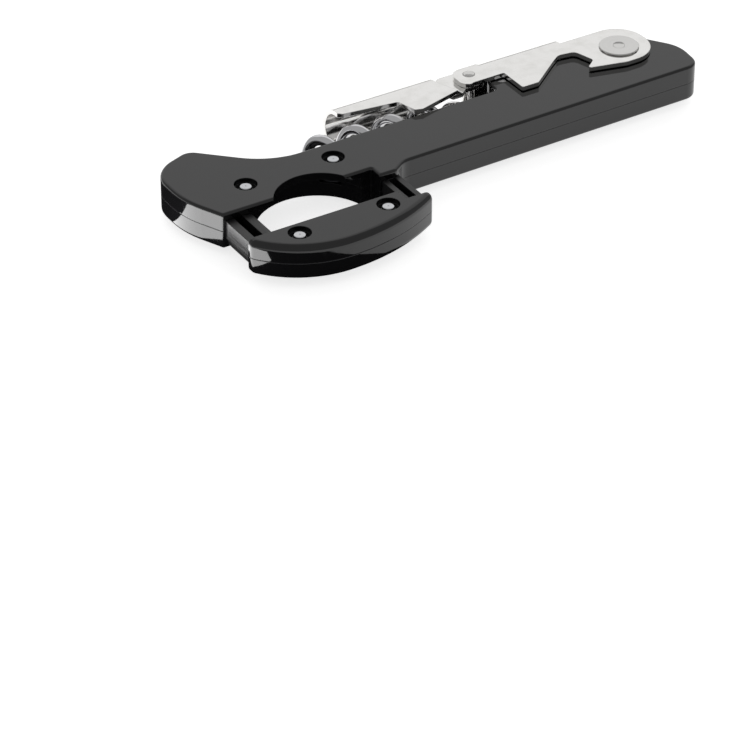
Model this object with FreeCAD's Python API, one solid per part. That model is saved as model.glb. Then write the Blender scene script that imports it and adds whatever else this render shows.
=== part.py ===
import FreeCAD, Part
import math
import os

# Waiter's corkscrew with a two-step lever and a sliding foil cutter.
#
# Frame: the origin is on the axis of the bottle neck that the foil cutter
# grips, at the middle of the handle's thickness. +X runs along the handle,
# +Y towards the folded levers and worm, +Z up. All hinge pins stand along Z.
# Left is the -X side of the head and right its +X side, towards the handle.
# Millimetres throughout.

Vec = FreeCAD.Vector

# ---- Overall sizes --------------------------------------------------------
HANDLE_THICKNESS = 9.8
JAW_THICKNESS = 9.5
PLATE = 2.0                # top and bottom walls of the moulded shells
CHANNEL_FLOOR = 0.9        # wall under the slide arms
HANDLE_EDGE_ROUND = 0.8
JAW_EDGE_ROUND = 1.8
JAW_END_ROUND = 2.0        # upright corners at the ends of the sliding jaw's front
SEAM_BEVEL = 0.06          # on both shells along their parting line

# ---- Bottle neck and the foil cutter head ---------------------------------
NECK_RADIUS = 14.2         # where the four cutting wheels touch the capsule
NECK_ROOM = 1.0            # play round the neck inside the head
WINDOW_RADIUS = 11.6       # round window in the fixed jaw's top
WINDOW_Y = -2.0
JAW_TRAVEL = 12.0
JAW_STOP_GAP = 0.6         # left between the jaws when they are shut
JAW_WHEEL_INSET = 3.9      # from the jaw's back edge to its wheels' axes
JAW_STEP_DEPTH = 4.0       # step in the jaw's back for the handle's nose
JAW_DEPTH = 13.0           # from the jaw's back edge to its belly
JAW_LEFT_END = 1.5         # length of the jaw's short straight ends
JAW_RIGHT_END = 1.3
NOSE_LEFT_X = 17.8
NOSE_SIDE_GAP = 0.3
HEAD_LEFT_X = -24.4
JAW_HALF_WIDTH = 24.6
JAW_BELLY_X = -3.0

# ---- Cutting wheels and their axles ---------------------------------------
WHEEL_RADIUS = 3.8347
WHEEL_ANGLE = 46.1233      # of a wheel's axis round the neck, in degrees from X
WHEEL_THICKNESS = 1.6
WHEEL_EDGE = 0.16          # width of the cutting edge
WHEEL_GRIND = 1.07         # width of the ground bevel up to it
WHEEL_SIDE_GAP = 0.3
WHEEL_RIM_GAP = 0.35
AXLE_RADIUS = 1.55
AXLE_POCKET_RADIUS = 2.95
AXLE_POCKET_UNDER = 2.3    # radius of the pockets underneath, clear of the neck's room
AXLE_POCKET_DEPTH = 1.4
AXLE_SUNK = 0.5            # axle end below the face around it
AXLE_END_ROUND = 0.2
PRESS_GAP = 0.02           # radial, for what is pressed or moulded in place
RUN_GAP = 0.05             # radial, for what turns

# ---- Slide arms and their springs -----------------------------------------
ARM_OUTER_X = 23.6
ARM_TOP_Z = 2.8
ARM_GAP = 0.1
ARM_SLOT_FLOOR_Z = -2.4
ARM_SEAT_WALL = 1.2
ARM_RAIL_DEPTH = 0.6
ARM_RAIL_TOP_Z = -2.1
ARM_STOP_LENGTH = 2.2
ARM_STOP_PLAY = 0.05
ARM_ROOT_WALL = 1.6
CHANNEL_LEAD = 4.0         # the channels' cuts start this far in front of the handle
SPRING_SHUT = 4.6          # length left when the jaws are shut
SPRING_COILS = 11
SPRING_RADIUS = 0.75
SPRING_WIRE = 0.2
SPRING_END_GAP = 0.1

# ---- Handle ---------------------------------------------------------------
HANDLE_FRONT_Y = 2.15
HANDLE_FRONT_RISE = 1.5
HANDLE_BACK_Y = 19.5
HANDLE_BACK_RISE = 0.5
HANDLE_TAIL = 15.0         # from the lever pivot to the handle's end
SIDE_WALL = 2.2
POCKET_FROM_HEAD = 9.0     # from the outer side of the right slide arm
POCKET_CORNER = 2.0
SCREW_FROM_HEAD = 15.0
SCREW_FROM_PIVOT = 19.0    # from the lever pivot
SCREW_RADIUS = 1.0
SCREW_HEAD_RADIUS = 1.9
SCREW_POST_RADIUS = 2.6
SCREW_HEAD_DEPTH = 1.5
SCREW_SUNK = 0.3
SCREW_TIP_ROOM = 0.4
SCREW_CROSS_REACH = 1.1
SCREW_CROSS_HALF = 0.25
SCREW_CROSS_DEPTH = 0.6

# ---- Levers ---------------------------------------------------------------
SHEET = 1.2
CHEEK_GAP = 0.3            # between handle face and lever cheek
BEND_Y = 29.3              # where the cheeks turn into the round back
STEP_LEVER_TIP_X = 23.1
STEP_LEVER_LENGTH = 39.1   # tip to hinge
LEVER_REACH = 41.0         # hinge to lever pivot
LEVER_HINGE_Y = 28.1
LEVER_PIVOT_Y = 19.8
LEVER_END_RADIUS = 8.5
OPENER_REACH = 12.0        # the cap opener's hollow, short of the lever pivot
EAR_REACH = 4.2            # from the hinge to the ear's end
EAR_TOP = 3.4              # from the hinge to the ear's upper edge
WEB_START = 4.6            # from the hinge to the first lever's round back
TAB_RADIUS = 4.0
TAB_GAP = 0.1
JOGGLE_START = 9.4         # from the hinge to where the step lever's sheet turns inwards
JOGGLE_RAMP = 1.6          # along the lever
JOGGLE_SLANT = 2.4         # the ramp's lower end lies this much nearer the hinge
JOGGLE_FOOT_Y = 22.6       # the sheet's lower edge at the ramp
HINGE_PIN_RADIUS = 1.6
HINGE_PIN_DOME = 0.5
HINGE_PIN_ROUND = 0.45
RIVET_RADIUS = 1.8
RIVET_HEAD_RADIUS = 5.2
RIVET_HEAD_HEIGHT = 0.5
RIVET_HEAD_ROUND = 0.3
RIVET_DIMPLE_RADIUS = 1.7
RIVET_DIMPLE_DEPTH = 0.4
HEAD_SHIM = 0.05
BUSH_RADIUS = 2.8

# ---- Worm -----------------------------------------------------------------
WORM_DIAMETER = 9.2
WORM_WIRE = 1.45
WORM_PITCH = 10.2
WORM_TURNS = 4.0
WORM_RUN_OUT = 0.75        # turns over which the coil comes in to the axis
WORM_START = -0.35         # where round the coil its point lies, in turns from +Y
WORM_STEPS_PER_TURN = 12
WORM_POINT_LENGTH = 2.4    # wire ground down to the point
WORM_TIP_RADIUS = 0.15
WORM_AXIS_Y = 23.6
WORM_SHANK = 11.1          # straight wire up to the pivot
WORM_PIN_RADIUS = 1.5
WORM_EYE_RADIUS = 3.0
WORM_EYE_HALF = 1.55       # half the eye's height, a little over the wire's
WORM_EYE_GAP = 0.1
WORM_NEST_GAP = 0.5
WORM_FROM_HINGE = 7.2      # the worm's pivot, beyond the step lever's hinge
BOSS_RADIUS = 3.8

# ---- Worked out from the sizes above --------------------------------------
TOUCH = 1e-4               # nearer than this counts as the same place
PAST = 1.0                 # cuts run this far beyond the faces they open
HALF = HANDLE_THICKNESS / 2
JAW_HALF = JAW_THICKNESS / 2
CEILING_Z = HALF - PLATE
FLOOR_Z = -HALF + CHANNEL_FLOOR
ARM_BOTTOM_Z = FLOOR_Z + ARM_GAP
WHEEL_X = (NECK_RADIUS + WHEEL_RADIUS) * math.cos(math.radians(WHEEL_ANGLE))
WHEEL_Y = (NECK_RADIUS + WHEEL_RADIUS) * math.sin(math.radians(WHEEL_ANGLE))
JAW_BACK_Y = JAW_WHEEL_INSET - WHEEL_Y
JAW_STEP_Y = JAW_BACK_Y - JAW_STEP_DEPTH
JAW_BELLY_Y = JAW_BACK_Y - JAW_DEPTH
JAW_LEFT_END_Y = JAW_BACK_Y - JAW_LEFT_END
JAW_RIGHT_END_Y = JAW_STEP_Y - JAW_RIGHT_END
FIXED_FRONT_Y = JAW_BACK_Y + JAW_TRAVEL + JAW_STOP_GAP
NOSE_FRONT_Y = JAW_STEP_Y + JAW_TRAVEL + JAW_STOP_GAP
SPRING_LENGTH = JAW_TRAVEL + SPRING_SHUT
JAW_STEP_X = NOSE_LEFT_X - NOSE_SIDE_GAP
LEVER_HINGE_X = STEP_LEVER_TIP_X + STEP_LEVER_LENGTH
LEVER_PIVOT_X = LEVER_HINGE_X + LEVER_REACH
HANDLE_END_X = LEVER_PIVOT_X + HANDLE_TAIL
WORM_PIVOT_X = LEVER_HINGE_X + WORM_FROM_HINGE
WORM_TIP_X = WORM_PIVOT_X - WORM_SHANK - (WORM_TURNS + WORM_RUN_OUT) * WORM_PITCH
CHEEK_IN = max(HALF + CHEEK_GAP, WORM_DIAMETER / 2 + WORM_NEST_GAP)
CHEEK_OUT = CHEEK_IN + SHEET
TAB_OUT = CHEEK_IN - TAB_GAP
TAB_IN = TAB_OUT - SHEET

# Each arm: inner face, wall each side of its spring slot, and the end of the
# channel that it slides in, which is also the spring's fixed seat.
ARMS = {
    "left": {"side": -1, "inner": 16.6, "wall": 2.3, "channel_end": 29.3, "front": FIXED_FRONT_Y},
    "right": {"side": 1, "inner": 18.5, "wall": 1.5, "channel_end": 17.3, "front": NOSE_FRONT_Y},
}


# ---- Shape helpers --------------------------------------------------------
def rounded_wire(corners, z=0.0):
    """A closed outline of straight runs, each corner (x, y, radius) rounded by a tangent arc."""
    joints = []
    count = len(corners)
    for index, (x, y, radius) in enumerate(corners):
        point = Vec(x, y, z)
        before = Vec(corners[index - 1][0], corners[index - 1][1], z)
        after = Vec(corners[(index + 1) % count][0], corners[(index + 1) % count][1], z)
        back = (before - point).normalize()
        ahead = (after - point).normalize()
        if radius <= 0:
            joints.append((point, None, point))
            continue
        half_angle = back.getAngle(ahead) / 2
        reach = radius / math.tan(half_angle)
        middle = (back + ahead).normalize() * (radius / math.sin(half_angle) - radius)
        joints.append((point + back * reach, point + middle, point + ahead * reach))
    edges = []
    for index, (start, middle, end) in enumerate(joints):
        previous_end = joints[index - 1][2]
        if (start - previous_end).Length > 1e-6:
            edges.append(Part.makeLine(previous_end, start))
        if middle is not None:
            edges.append(Part.Arc(start, middle, end).toShape())
    return Part.Wire(edges)


def prism(wire, low, high):
    """The solid between two heights inside an outline drawn at z = 0."""
    face = Part.Face(wire)
    face.translate(Vec(0, 0, low))
    return face.extrude(Vec(0, 0, high - low))


def post(x, y, radius, low, high):
    return Part.makeCylinder(radius, high - low, Vec(x, y, low))


def block(x_range, y_range, z_range):
    """A box between the given limits, in any order."""
    lows = [min(r) for r in (x_range, y_range, z_range)]
    sizes = [max(r) - min(r) for r in (x_range, y_range, z_range)]
    return Part.makeBox(*sizes, Vec(*lows))


def joined(shapes):
    first = shapes[0]
    return first.multiFuse(shapes[1:]).removeSplitter() if len(shapes) > 1 else first


def rim_edges(solid, z, wanted):
    """The edges that lie wholly at height z and whose middle passes the test."""
    chosen = []
    for edge in solid.Edges:
        box = edge.BoundBox
        if abs(box.ZMin - z) < TOUCH and abs(box.ZMax - z) < TOUCH:
            if wanted(edge.valueAt((edge.FirstParameter + edge.LastParameter) / 2)):
                chosen.append(edge)
    return chosen


def everywhere(point):
    return True


def round_rim(solid, z, radius, wanted=everywhere):
    return solid.makeFillet(radius, rim_edges(solid, z, wanted))


def shell_half(solid, side, half, radius, wanted=everywhere):
    """Rounds a shell's outer rim and bevels its parting line; side is 1 above and -1 below."""
    solid = round_rim(solid, side * half, radius, wanted)
    return solid.makeChamfer(SEAM_BEVEL, rim_edges(solid, 0, wanted))


def round_both_rims(solid, half, radius):
    return round_rim(round_rim(solid, half, radius), -half, radius)


def save(name, shape):
    os.makedirs("parts", exist_ok=True)
    if not shape.isValid() or not shape.Solids:
        raise ValueError(name + " is not a valid solid")
    solids = shape.Solids
    whole = solids[0] if len(solids) == 1 else Part.makeCompound(solids)
    whole.exportStep("parts/" + name + ".step")
    print(name, len(solids), "solid", round(shape.Volume, 1), "mm3")


# ---- Outlines seen from above ---------------------------------------------
def handle_outline():
    """The handle and the fixed jaw in one outline, clockwise from the jaw's front left corner."""
    end = HANDLE_END_X
    front_end_y = HANDLE_FRONT_Y + HANDLE_FRONT_RISE
    boss_left = WORM_PIVOT_X - BOSS_RADIUS
    boss_top = WORM_AXIS_Y + BOSS_RADIUS
    back_end_y = HANDLE_BACK_Y + HANDLE_BACK_RISE
    return rounded_wire([
        (HEAD_LEFT_X, FIXED_FRONT_Y, 0.6),
        (HEAD_LEFT_X - 5.0, 14.6, 26.0),
        (HEAD_LEFT_X - 4.9, 30.2, 10.0),
        (-16.9, 34.7, 4.0),
        (-1.2, HANDLE_BACK_Y, 20.0),
        (boss_left, back_end_y, 1.5),
        (boss_left, boss_top, BOSS_RADIUS),
        (end - 7.6, boss_top - 1.1, 8.0),
        (end + 0.8, 14.5, 10.0),
        (end - 0.4, front_end_y, 4.5),
        (26.6, HANDLE_FRONT_Y, 5.0),
        (22.6, NOSE_FRONT_Y, 1.5),
        (NOSE_LEFT_X, NOSE_FRONT_Y, 0.4),
        (NOSE_LEFT_X, FIXED_FRONT_Y, 0.5),
    ])


def tangent_arc(end, belly):
    """The arc from an end point to the belly point, level at the belly."""
    run = end.x - belly.x
    rise = end.y - belly.y
    radius = (run * run + rise * rise) / (2 * rise)
    centre = Vec(belly.x, belly.y + radius, 0)
    half_way = ((end - centre).normalize() + Vec(0, -1, 0)).normalize()
    return Part.Arc(end, centre + half_way * radius, belly).toShape()


def jaw_outline(inset=0.0):
    """The sliding jaw: a straight back with a step for the handle's nose, and a bowed front."""
    left_x = -JAW_HALF_WIDTH + inset
    right_x = JAW_HALF_WIDTH - inset
    back_y = JAW_BACK_Y - inset
    step_y = JAW_STEP_Y - inset
    belly = Vec(JAW_BELLY_X, JAW_BELLY_Y + inset, 0)
    left_end = Vec(left_x, JAW_LEFT_END_Y - inset / 4, 0)
    right_end = Vec(right_x, JAW_RIGHT_END_Y - inset / 4, 0)
    corners = [
        right_end,
        Vec(right_x, step_y, 0),
        Vec(JAW_STEP_X - inset, step_y, 0),
        Vec(JAW_STEP_X - inset, back_y, 0),
        Vec(left_x, back_y, 0),
        left_end,
    ]
    lines = [Part.makeLine(a, b) for a, b in zip(corners, corners[1:])]
    return Part.Wire(lines + [tangent_arc(left_end, belly), tangent_arc(right_end, belly)])


# ---- Cuts shared by the handle and the sliding jaw ------------------------
def wheel_places(y):
    return {"left": (-WHEEL_X, y), "right": (WHEEL_X, y)}


def neck_room():
    return post(0, 0, NECK_RADIUS + NECK_ROOM, -HALF - PAST, CEILING_Z)


def axle_cuts(y, half):
    """For each wheel: its slot, its axle's bore and the pockets round the axle's ends."""
    cuts = []
    slot_half = WHEEL_THICKNESS / 2 + WHEEL_SIDE_GAP
    for x, wheel_y in wheel_places(y).values():
        cuts.append(post(x, wheel_y, WHEEL_RADIUS + WHEEL_RIM_GAP, -slot_half, slot_half))
        cuts.append(post(x, wheel_y, AXLE_RADIUS + PRESS_GAP, -half - PAST, half + PAST))
        pocket_floor = half - AXLE_POCKET_DEPTH
        cuts.append(post(x, wheel_y, AXLE_POCKET_RADIUS, pocket_floor, half + PAST))
        cuts.append(post(x, wheel_y, AXLE_POCKET_UNDER, -half - PAST, -pocket_floor))
    return cuts


# ---- Handle shells --------------------------------------------------------
def arm_channel(arm):
    """The tunnel that an arm slides in, with the stop rib left standing at its mouth."""
    side = arm["side"]
    inner = side * (arm["inner"] - ARM_GAP)
    outer = side * (ARM_OUTER_X + ARM_GAP)
    mouth = arm["front"] - CHANNEL_LEAD
    tunnel = block((inner, outer), (mouth, arm["channel_end"]), (FLOOR_Z, ARM_TOP_Z + ARM_GAP))
    rib_face = outer - side * ARM_RAIL_DEPTH
    rib_top = ARM_RAIL_TOP_Z - ARM_GAP
    rib = block((rib_face, outer), (mouth, arm["front"] + ARM_STOP_LENGTH), (FLOOR_Z, rib_top))
    return tunnel.cut(rib)


def handle_pocket_outline():
    """The hollow of the handle between the head and the lever pivot."""
    left = ARM_OUTER_X + POCKET_FROM_HEAD
    right = LEVER_PIVOT_X - OPENER_REACH
    low = HANDLE_FRONT_Y + HANDLE_FRONT_RISE + SIDE_WALL
    high = WORM_AXIS_Y - WORM_DIAMETER / 2 - WORM_NEST_GAP - SIDE_WALL / 2
    corners = [(left, low), (right, low), (right, high), (left, high)]
    return rounded_wire([(x, y, POCKET_CORNER) for x, y in corners])


def screw_places():
    middle = (HANDLE_FRONT_Y + HANDLE_BACK_Y) / 2
    return [(ARM_OUTER_X + SCREW_FROM_HEAD, middle), (LEVER_PIVOT_X - SCREW_FROM_PIVOT, middle)]


def worm_nest():
    """The groove along the handle's back that the folded worm lies in."""
    radius = WORM_DIAMETER / 2 + WORM_NEST_GAP
    length = WORM_PIVOT_X - BOSS_RADIUS - PAST
    return Part.makeCylinder(radius, length, Vec(0, WORM_AXIS_Y, 0), Vec(1, 0, 0))


def worm_eye_slot():
    """Room in the boss for the worm's eye and for its shank to swing out a quarter turn."""
    half = WORM_EYE_HALF + WORM_EYE_GAP
    side = WORM_WIRE + WORM_NEST_GAP
    eye = post(WORM_PIVOT_X, WORM_AXIS_Y, WORM_EYE_RADIUS + 2 * WORM_EYE_GAP, -half, half)
    reach = BOSS_RADIUS * 3
    sweep = block(
        (WORM_PIVOT_X - reach, WORM_PIVOT_X + side), (WORM_AXIS_Y - side, WORM_AXIS_Y + reach), (-half, half)
    )
    return eye.fuse(sweep)


def handle_cuts():
    bore_top = HALF + PAST
    cuts = [neck_room(), post(0, WINDOW_Y, WINDOW_RADIUS, -bore_top, bore_top)]
    cuts += axle_cuts(WHEEL_Y, HALF)
    cuts += [arm_channel(arm) for arm in ARMS.values()]
    cuts += [worm_nest(), worm_eye_slot()]
    cuts.append(post(WORM_PIVOT_X, WORM_AXIS_Y, WORM_PIN_RADIUS + PRESS_GAP, -bore_top, bore_top))
    cuts.append(post(LEVER_PIVOT_X, LEVER_PIVOT_Y, BUSH_RADIUS + PRESS_GAP, -bore_top, bore_top))
    hollow = prism(handle_pocket_outline(), -HALF + PLATE, CEILING_Z)
    for x, y in screw_places():
        hollow = hollow.cut(post(x, y, SCREW_POST_RADIUS, -HALF, HALF))
        cuts.append(post(x, y, SCREW_RADIUS + PRESS_GAP, -bore_top, HALF - PLATE + SCREW_TIP_ROOM))
        cuts.append(post(x, y, SCREW_HEAD_RADIUS + PRESS_GAP, -bore_top, -HALF + SCREW_HEAD_DEPTH))
    cuts.append(hollow)
    return cuts


def handle_shells():
    cuts = handle_cuts()
    for name, side in (("handle_upper_shell", 1), ("handle_lower_shell", -1)):
        blank = prism(handle_outline(), min(0, side * HALF), max(0, side * HALF))
        save(name, shell_half(blank, side, HALF, HANDLE_EDGE_ROUND).cut(cuts))


def handle_screws():
    """Two self-tapping screws put in from below."""
    screws = []
    reach = SCREW_CROSS_REACH
    thin = SCREW_CROSS_HALF
    head_low = -HALF + SCREW_SUNK
    cross_z = (head_low - PAST, head_low + SCREW_CROSS_DEPTH)
    for x, y in screw_places():
        head = post(x, y, SCREW_HEAD_RADIUS, head_low, -HALF + SCREW_HEAD_DEPTH)
        shank = post(x, y, SCREW_RADIUS, head_low, HALF - PLATE)
        cross = [
            block((x - reach, x + reach), (y - thin, y + thin), cross_z),
            block((x - thin, x + thin), (y - reach, y + reach), cross_z),
        ]
        screws.append(head.fuse(shank).cut(cross))
    save("handle_screws", Part.makeCompound(screws))


# ---- Sliding jaw ----------------------------------------------------------
def jaw_back_at(arm):
    return JAW_BACK_Y if arm["side"] < 0 else JAW_STEP_Y


def arm_solid(arm):
    """One slide arm, with its root following the jaw's outline a wall's thickness inside it."""
    side = arm["side"]
    inner = side * arm["inner"]
    outer = side * ARM_OUTER_X
    tip_y = arm["channel_end"] - JAW_TRAVEL - JAW_STOP_GAP / 2
    beam = block((inner, outer), (JAW_BELLY_Y, tip_y), (ARM_BOTTOM_Z, ARM_TOP_Z))
    inside = prism(jaw_outline(ARM_ROOT_WALL), -HALF, HALF)
    ahead_from = jaw_back_at(arm) - ARM_ROOT_WALL - ARM_GAP
    ahead = block((inner, outer), (ahead_from, tip_y), (-HALF, HALF))
    return beam.common(inside.fuse(ahead))


def spring_seat_y(arm):
    return arm["channel_end"] - SPRING_LENGTH


def jaw_arm(arm):
    side = arm["side"]
    slot_x = (side * (arm["inner"] + arm["wall"]), side * (ARM_OUTER_X - arm["wall"]))
    seat = spring_seat_y(arm)
    tip = arm["channel_end"]
    slot_start = jaw_back_at(arm) - ARM_ROOT_WALL
    above = ARM_TOP_Z + PAST
    open_slot = block(slot_x, (slot_start, seat - ARM_SEAT_WALL), (ARM_SLOT_FLOOR_Z, above))
    spring_slot = block(slot_x, (seat, tip), (ARM_SLOT_FLOOR_Z, above))
    rail_x = (side * (ARM_OUTER_X - ARM_RAIL_DEPTH), side * (ARM_OUTER_X + PAST))
    rail_y = (slot_start - PAST, arm["front"] + ARM_STOP_LENGTH + ARM_STOP_PLAY)
    rail = block(rail_x, rail_y, (ARM_BOTTOM_Z - PAST, ARM_RAIL_TOP_Z))
    return arm_solid(arm).cut([open_slot, spring_slot, rail])


def on_jaw_front(point):
    """False on the jaw's straight back and on the step in it, which meet the handle."""
    off_back = min(abs(point.y - JAW_BACK_Y), abs(point.y - JAW_STEP_Y), abs(point.x - JAW_STEP_X))
    return off_back > TOUCH


def jaw_end_edges(solid):
    """The two upright edges where the jaw's bowed front meets its short ends."""
    ends = [(-JAW_HALF_WIDTH, JAW_LEFT_END_Y), (JAW_HALF_WIDTH, JAW_RIGHT_END_Y)]
    chosen = []
    for edge in solid.Edges:
        box = edge.BoundBox
        if box.ZLength > TOUCH:
            gaps = [math.hypot(box.XMin - x, box.YMin - y) for x, y in ends]
            if min(gaps) < TOUCH:
                chosen.append(edge)
    return chosen


def sliding_jaw():
    sockets = [arm_solid(arm) for arm in ARMS.values()]
    cuts = [neck_room()] + axle_cuts(-WHEEL_Y, JAW_HALF) + sockets
    for name, side in (("jaw_upper_shell", 1), ("jaw_lower_shell", -1)):
        blank = prism(jaw_outline(), min(0, side * JAW_HALF), max(0, side * JAW_HALF))
        blank = blank.makeFillet(JAW_END_ROUND, jaw_end_edges(blank))
        save(name, shell_half(blank, side, JAW_HALF, JAW_EDGE_ROUND, on_jaw_front).cut(cuts))
    for name, arm in ARMS.items():
        save("jaw_arm_" + name, jaw_arm(arm))


def springs():
    """The two return springs, relaxed between the arms and the ends of their channels."""
    for name, arm in ARMS.items():
        middle_x = arm["side"] * (arm["inner"] + ARM_OUTER_X) / 2
        length = SPRING_LENGTH - 2 * (SPRING_WIRE + SPRING_END_GAP)
        helix = Part.makeHelix(length / SPRING_COILS, length, SPRING_RADIUS)
        section = Part.Wire(Part.makeCircle(SPRING_WIRE, Vec(SPRING_RADIUS, 0, 0), Vec(0, 1, 0)))
        coil = Part.Wire(helix).makePipeShell([section], True, True)
        coil.rotate(Vec(0, 0, 0), Vec(1, 0, 0), -90)
        coil.translate(Vec(middle_x, spring_seat_y(arm) + SPRING_WIRE + SPRING_END_GAP, 0))
        save("spring_" + name, coil)


# ---- Wheels and axles -----------------------------------------------------
def cutting_wheel(x, y):
    """A steel disc ground from both sides to a narrow rim, on a running bore."""
    half = WHEEL_THICKNESS / 2
    flat = WHEEL_RADIUS - WHEEL_GRIND
    edge = WHEEL_EDGE / 2
    bore = AXLE_RADIUS + RUN_GAP
    upper = [(WHEEL_RADIUS, edge), (flat, half), (bore, half)]
    lower = [(r, -z) for r, z in reversed(upper)]
    points = [Vec(r, 0, z) for r, z in lower + upper]
    face = Part.Face(Part.makePolygon(points + points[:1]))
    wheel = face.revolve(Vec(0, 0, 0), Vec(0, 0, 1), 360)
    wheel.translate(Vec(x, y, 0))
    return wheel


def wheels_and_axles():
    for prefix, y, half in (("fixed", WHEEL_Y, HALF), ("jaw", -WHEEL_Y, JAW_HALF)):
        for side, (x, wheel_y) in wheel_places(y).items():
            save(prefix + "_wheel_" + side, cutting_wheel(x, wheel_y))
            top = half - AXLE_SUNK
            axle = post(x, wheel_y, AXLE_RADIUS, -top, top)
            save(prefix + "_axle_" + side, round_both_rims(axle, top, AXLE_END_ROUND))


# ---- Levers ---------------------------------------------------------------
def both_sides(wire, inner, outer):
    """The same sheet outline above and below the handle."""
    return [prism(wire, inner, outer), prism(wire, -outer, -inner)]


def round_back(x_start, x_end):
    """The half-round web that joins the two cheeks at the lever's back."""
    length = x_end - x_start
    start = Vec(x_start, BEND_Y, 0)
    along = Vec(1, 0, 0)
    tube = Part.makeCylinder(CHEEK_OUT, length, start, along)
    tube = tube.cut(Part.makeCylinder(CHEEK_IN, length, start, along))
    return tube.cut(block((x_start, x_end), (BEND_Y - 2 * CHEEK_OUT, BEND_Y), (-CHEEK_OUT, CHEEK_OUT)))


def first_lever_outline():
    """Cheek of the first lever: ear at the hinge, first bottle step, cap opener, round pivot end."""
    hinge = LEVER_HINGE_X
    pivot = LEVER_PIVOT_X
    end_bottom = LEVER_PIVOT_Y + 1.0 - LEVER_END_RADIUS
    return rounded_wire([
        # The ear round the hinge pin.
        (hinge + WEB_START, BEND_Y, 0),
        (hinge + WEB_START, LEVER_HINGE_Y + EAR_TOP, 0.6),
        (hinge - EAR_REACH, LEVER_HINGE_Y + EAR_TOP, EAR_TOP - 0.1),
        (hinge - EAR_REACH, LEVER_HINGE_Y - 3.4, 2.2),
        (hinge - 2.2, 23.5, 0.8),
        (hinge - 1.2, 23.9, 0.8),
        # The first bottle step.
        (hinge + 8.1, 24.0, 0.6),
        (hinge + 8.1, 15.3, 0.5),
        (pivot - 28.0, 15.3, 0.8),
        # The cap opener's hollow and its lip.
        (pivot - 19.0, 22.2, 3.0),
        (pivot - 16.0, 24.3, 2.5),
        (pivot - 11.3, 23.6, 1.8),
        (pivot - 9.5, 17.6, 1.2),
        (pivot - 13.1, 14.8, 0.5),
        # The round end on the pivot.
        (pivot - 2.5, end_bottom - 0.1, 4.0),
        (pivot + LEVER_END_RADIUS, end_bottom, LEVER_END_RADIUS - 0.6),
        (pivot + LEVER_END_RADIUS, BEND_Y, LEVER_END_RADIUS - 0.6),
    ])


def first_lever():
    cheeks = both_sides(first_lever_outline(), CHEEK_IN, CHEEK_OUT)
    web = round_back(LEVER_HINGE_X + WEB_START, LEVER_PIVOT_X - OPENER_REACH)
    lever = joined(cheeks + [web])
    high = CHEEK_OUT + PAST
    bores = [
        post(LEVER_PIVOT_X, LEVER_PIVOT_Y, RIVET_RADIUS + RUN_GAP, -high, high),
        post(LEVER_HINGE_X, LEVER_HINGE_Y, HINGE_PIN_RADIUS + PRESS_GAP, -high, high),
    ]
    save("lever_first", lever.cut(bores))


def step_lever_outline():
    """Cheek of the step lever from its tip to the joggle beside the hinge."""
    tip = STEP_LEVER_TIP_X
    hinge = LEVER_HINGE_X
    return rounded_wire([
        (tip, BEND_Y, 0),
        (tip, 28.6, 0),
        (tip + 1.0, 27.6, 0.8),
        (hinge - 23.0, 25.5, 0.8),
        (hinge - 21.4, 19.9, 0.6),
        (hinge - 19.4, 19.3, 0.6),
        (hinge - JOGGLE_START + JOGGLE_SLANT, JOGGLE_FOOT_Y, 0),
        (hinge - JOGGLE_START, BEND_Y, 0),
    ])


def step_lever_tab_outline():
    """The inset tab that turns on the hinge pin between the first lever's ears."""
    hinge = LEVER_HINGE_X
    low = LEVER_HINGE_Y - TAB_RADIUS
    high = LEVER_HINGE_Y + TAB_RADIUS
    round_end = TAB_RADIUS - 0.1
    return rounded_wire([
        (hinge - JOGGLE_START + JOGGLE_SLANT - SHEET, JOGGLE_FOOT_Y, 0),
        (hinge - 5.4, JOGGLE_FOOT_Y, 1.0),
        (hinge - 3.4, low, 1.0),
        (hinge + TAB_RADIUS, low, round_end),
        (hinge + TAB_RADIUS, high, round_end),
        (hinge - 7.0, high, 2.0),
        (hinge - JOGGLE_START - SHEET, BEND_Y, 0),
    ])


def joggle(side):
    """The strip of the step lever's sheet that is pressed inwards, sloping down from cheek to tab."""
    top = LEVER_HINGE_X - JOGGLE_START
    foot = top + JOGGLE_RAMP
    back = top - SHEET
    profile = [(back, CHEEK_OUT), (top, CHEEK_OUT), (foot, TAB_OUT), (foot, TAB_IN), (back, TAB_IN)]
    corners = [Vec(x, BEND_Y, side * z) for x, z in profile]
    strip = Part.Face(Part.makePolygon(corners + corners[:1]))
    return strip.extrude(Vec(JOGGLE_SLANT, JOGGLE_FOOT_Y - BEND_Y, 0))


def step_lever():
    pieces = both_sides(step_lever_outline(), CHEEK_IN, CHEEK_OUT)
    pieces += [joggle(1), joggle(-1)]
    pieces += both_sides(step_lever_tab_outline(), TAB_IN, TAB_OUT)
    pieces.append(round_back(STEP_LEVER_TIP_X, LEVER_HINGE_X - JOGGLE_START))
    bore = post(LEVER_HINGE_X, LEVER_HINGE_Y, HINGE_PIN_RADIUS + RUN_GAP, -CHEEK_OUT, CHEEK_OUT)
    save("lever_step", joined(pieces).cut(bore))


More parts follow.
